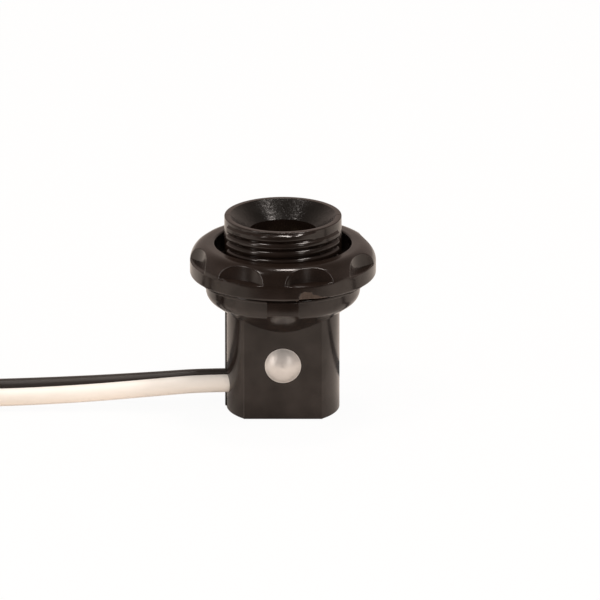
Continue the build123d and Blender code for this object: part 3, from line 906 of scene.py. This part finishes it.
sheet = add_node(tree, "ShaderNodeMix", {
    "data_type": "RGBA", 6: bench_colour, 7: paper_colour,
}, {"Factor": on_paper.outputs["Result"]})
sideways = add_node(tree, "ShaderNodeMath", {"operation": "ABSOLUTE"}, {0: apart.outputs["X"]})
backward = add_node(tree, "ShaderNodeMath", {"operation": "MULTIPLY_ADD", 1: gap_slant}, {
    0: sideways.outputs[0], 2: apart.outputs["Y"],
})
past_sheet = add_node(tree, "ShaderNodeMath", {"operation": "GREATER_THAN", 1: paper_back},
                      {0: backward.outputs[0]})
table = add_node(tree, "ShaderNodeMix", {"data_type": "RGBA", 7: table_colour}, {
    "Factor": past_sheet.outputs[0], 6: sheet.outputs[2],
})
# The dark strip is painted shade, as in a gap between the paper and the table.
in_shade_strip = add_node(tree, "ShaderNodeMath", {
    "operation": "COMPARE", 1: paper_back, 2: shade_strip_half_width,
}, {0: backward.outputs[0]})
surface = add_node(tree, "ShaderNodeMix", {"data_type": "RGBA", 7: shade_strip_colour}, {
    "Factor": in_shade_strip.outputs[0], 6: table.outputs[2],
})
ray = add_node(tree, "ShaderNodeLightPath")
even = add_node(tree, "ShaderNodeMix", {"data_type": "RGBA", 7: paper_colour}, {
    "Factor": ray.outputs["Is Camera Ray"], 6: surface.outputs[2],
})
tree.links.new(even.outputs[2], shader.inputs["Base Color"])
shader.inputs["Roughness"].default_value = 0.9
gloss = add_node(tree, "ShaderNodeMath", {"operation": "MAXIMUM"}, {
    0: ray.outputs["Is Glossy Ray"], 1: ray.outputs["Is Transmission Ray"],
})
gloss_paper = add_node(tree, "ShaderNodeMath", {"operation": "MULTIPLY"}, {
    0: gloss.outputs[0], 1: on_paper.outputs["Result"],
})
gloss_share = add_node(tree, "ShaderNodeMath", {
    "operation": "MULTIPLY", 1: gloss_white_share,
}, {0: gloss_paper.outputs[0]})
white_share = add_node(tree, "ShaderNodeMath", {
    "operation": "MULTIPLY_ADD", 1: camera_white_share,
}, {0: ray.outputs["Is Camera Ray"], 2: gloss_share.outputs[0]})
white = add_node(tree, "ShaderNodeEmission", {"Color": linear("#ffffff"), "Strength": 1.0})
seen = add_node(tree, "ShaderNodeMixShader", {}, {
    0: white_share.outputs[0], 1: shader.outputs["BSDF"], 2: white.outputs["Emission"],
})
tree.links.new(seen.outputs["Shader"], tree.nodes["Material Output"].inputs["Surface"])
floor.data.materials.append(paper)

# The room gives matt surfaces one even pale light. Glossy ones mirror a warmer room, which is
# darker behind the camera (low Y) and overhead (high Z).
room_even = 0.56
room_light, room_dark = 0.5, 0.13
room_dark_y, room_light_y = -0.75, 0.05
ceiling_share = 0.3
ceiling_start_z, ceiling_z = 0.35, 1.0
world = bpy.data.worlds.new("pale room")
world.use_nodes = True
bpy.context.scene.world = world
tree = world.node_tree
room = tree.nodes["Background"]
facing = add_node(tree, "ShaderNodeTexCoord")
way = add_node(tree, "ShaderNodeSeparateXYZ", {}, {"Vector": facing.outputs["Generated"]})
behind = add_node(tree, "ShaderNodeMapRange", {
    "interpolation_type": "SMOOTHSTEP", "From Min": room_dark_y, "From Max": room_light_y,
    "To Min": room_dark, "To Max": room_light,
}, {"Value": way.outputs["Y"]})
overhead = add_node(tree, "ShaderNodeMapRange", {
    "interpolation_type": "SMOOTHSTEP", "From Min": ceiling_start_z, "From Max": ceiling_z,
    "To Min": 1.0, "To Max": ceiling_share,
}, {"Value": way.outputs["Z"]})
mirrored = add_node(tree, "ShaderNodeMath", {"operation": "MULTIPLY"}, {
    0: behind.outputs["Result"], 1: overhead.outputs["Result"],
})
ray = add_node(tree, "ShaderNodeLightPath")
level = add_node(tree, "ShaderNodeMix", {"data_type": "FLOAT", 2: room_even}, {
    "Factor": ray.outputs["Is Glossy Ray"], 3: mirrored.outputs[0],
})
tone = add_node(tree, "ShaderNodeMix", {
    "data_type": "RGBA", 6: linear("#fffbf7"), 7: linear("#ffe9dd"),
}, {"Factor": ray.outputs["Is Glossy Ray"]})
tree.links.new(tone.outputs[2], room.inputs["Color"])
tree.links.new(level.outputs[0], room.inputs["Strength"])

# Soft lamps: each has its place, width, height and power in watts, and faces the socket.
lamp_colour = linear("#fff5ee")[:3]
lit_place = Vector((0, 0, 20 * mm))
for name, place, width, height, power in (
    ("high right lamp", (0.38, -0.2, 0.9), 0.19, 0.19, 3.0),
    ("high left lamp", (-0.4, -0.2, 0.89), 0.17, 0.17, 1.6),
    ("high back lamp", (0.04, 0.2, 0.96), 0.16, 0.14, 2.2),
    ("right strip light", (0.335, -0.497, 0.2), 0.08, 0.4, 0.5),
    ("left strip light", (-0.497, -0.335, 0.2), 0.09, 0.4, 0.8),
):
    lamp_data = bpy.data.lights.new(name, "AREA")
    lamp_data.shape = "RECTANGLE"
    lamp_data.size = width
    lamp_data.size_y = height
    lamp_data.energy = power
    lamp_data.color = lamp_colour
    lamp = bpy.data.objects.new(name, lamp_data)
    lamp.location = place
    lamp.rotation_euler = (lit_place - lamp.location).to_track_quat("-Z", "Y").to_euler()
    bpy.context.scene.collection.objects.link(lamp)

bpy.context.scene.view_settings.view_transform = "Standard"
